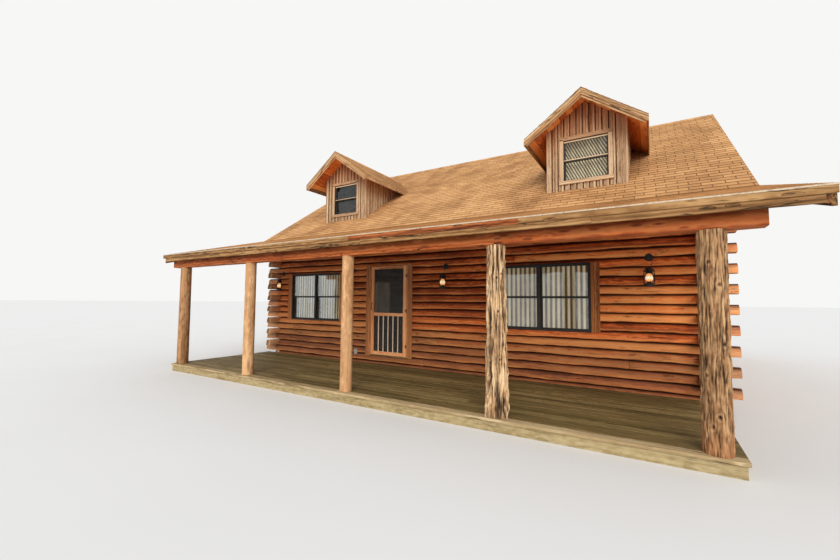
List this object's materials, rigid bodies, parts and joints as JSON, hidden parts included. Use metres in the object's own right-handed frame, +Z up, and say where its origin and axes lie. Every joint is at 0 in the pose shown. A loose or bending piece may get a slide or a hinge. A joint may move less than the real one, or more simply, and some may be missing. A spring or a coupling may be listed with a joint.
{
  "type": "log cabin",
  "caption": "Single-storey log cabin with a loft: interlocking squared logs, a full-length front porch on round posts, a gable roof with two gabled dormers and a swinging screen door.",
  "frame": {"origin": "on the ground, under the ridge, midway between the ends of the house", "axes": "+X along the front to the right as seen from the porch, +Y from the porch to the back, +Z up"},
  "size_m": [11.011, 11.694, 6.217],
  "materials": {
    "stained_logs": "orange-brown stained log",
    "weathered_logs": "stained log",
    "cedar": "rough grey-brown cedar",
    "peeled_pole": "smooth peeled pole",
    "stained_beam": "stained beam",
    "fascia_wood": "weathered board",
    "deck_wood": "worn decking",
    "framing": "sawn framing",
    "shingles": "asphalt shingle",
    "board_batten": "weathered board and batten",
    "barge_wood": "light tan board",
    "concrete": "concrete",
    "bronze_frame": "dark bronze",
    "pane": "clear glass",
    "door_wood": "orange-brown varnished timber",
    "insect_screen": "dark screen",
    "black_metal": "satin black",
    "steel": "steel",
    "outlet_grey": "grey"
  },
  "bodies": {
    "house": {"back_fascia": "fascia_wood", "back_wall_butt_logs": "weathered_logs", "back_wall_pass_logs": "weathered_logs", "cedar_posts": "cedar", "deck_boards": "deck_wood", "deck_frame": "deck_wood", "door_frame": "door_wood", "dormer_barge_boards": "barge_wood", "dormer_eave_boards": "barge_wood", "dormer_roofs": "shingles", "dormer_walls": "board_batten", "floor_joists": "framing", "foundation": "concrete", "frame_hinges": "black_metal", "front_wall_butt_logs": "stained_logs", "front_wall_pass_logs": "stained_logs", "gable_walls": "board_batten", "ground_floor": "framing", "lantern_glass": "pane", "lanterns": "black_metal", "left_wall_butt_logs": "stained_logs", "left_wall_pass_logs": "stained_logs", "loft_floor": "framing", "main_rafters": "framing", "main_roof_back": "shingles", "main_roof_front": "shingles", "outlet_box": "outlet_grey", "porch_fascia": "fascia_wood", "porch_fascia_backer": "fascia_wood", "porch_header": "stained_beam", "porch_ledger": "stained_beam", "porch_rafters": "stained_beam", "porch_roof": "shingles", "rake_boards": "fascia_wood", "ridge_board": "framing", "right_wall_butt_logs": "stained_logs", "right_wall_pass_logs": "stained_logs", "smooth_posts": "peeled_pole", "wall_plates": "framing", "wall_trim_boards": "stained_logs", "window_frames": "bronze_frame", "window_glass": "pane", "window_sashes": "bronze_frame"},
    "front_screen_door": {"screen_door": "door_wood", "door_screen": "insect_screen", "door_hardware": "black_metal"}
  },
  "joints": [
    {"name": "front_screen_door_hinge", "type": "hinge", "parent": "house", "child": "front_screen_door", "pos_m": [-0.5225, -4.302, 0], "axis": [0, 0, 1], "range_deg": [0, 95]}
  ]
}
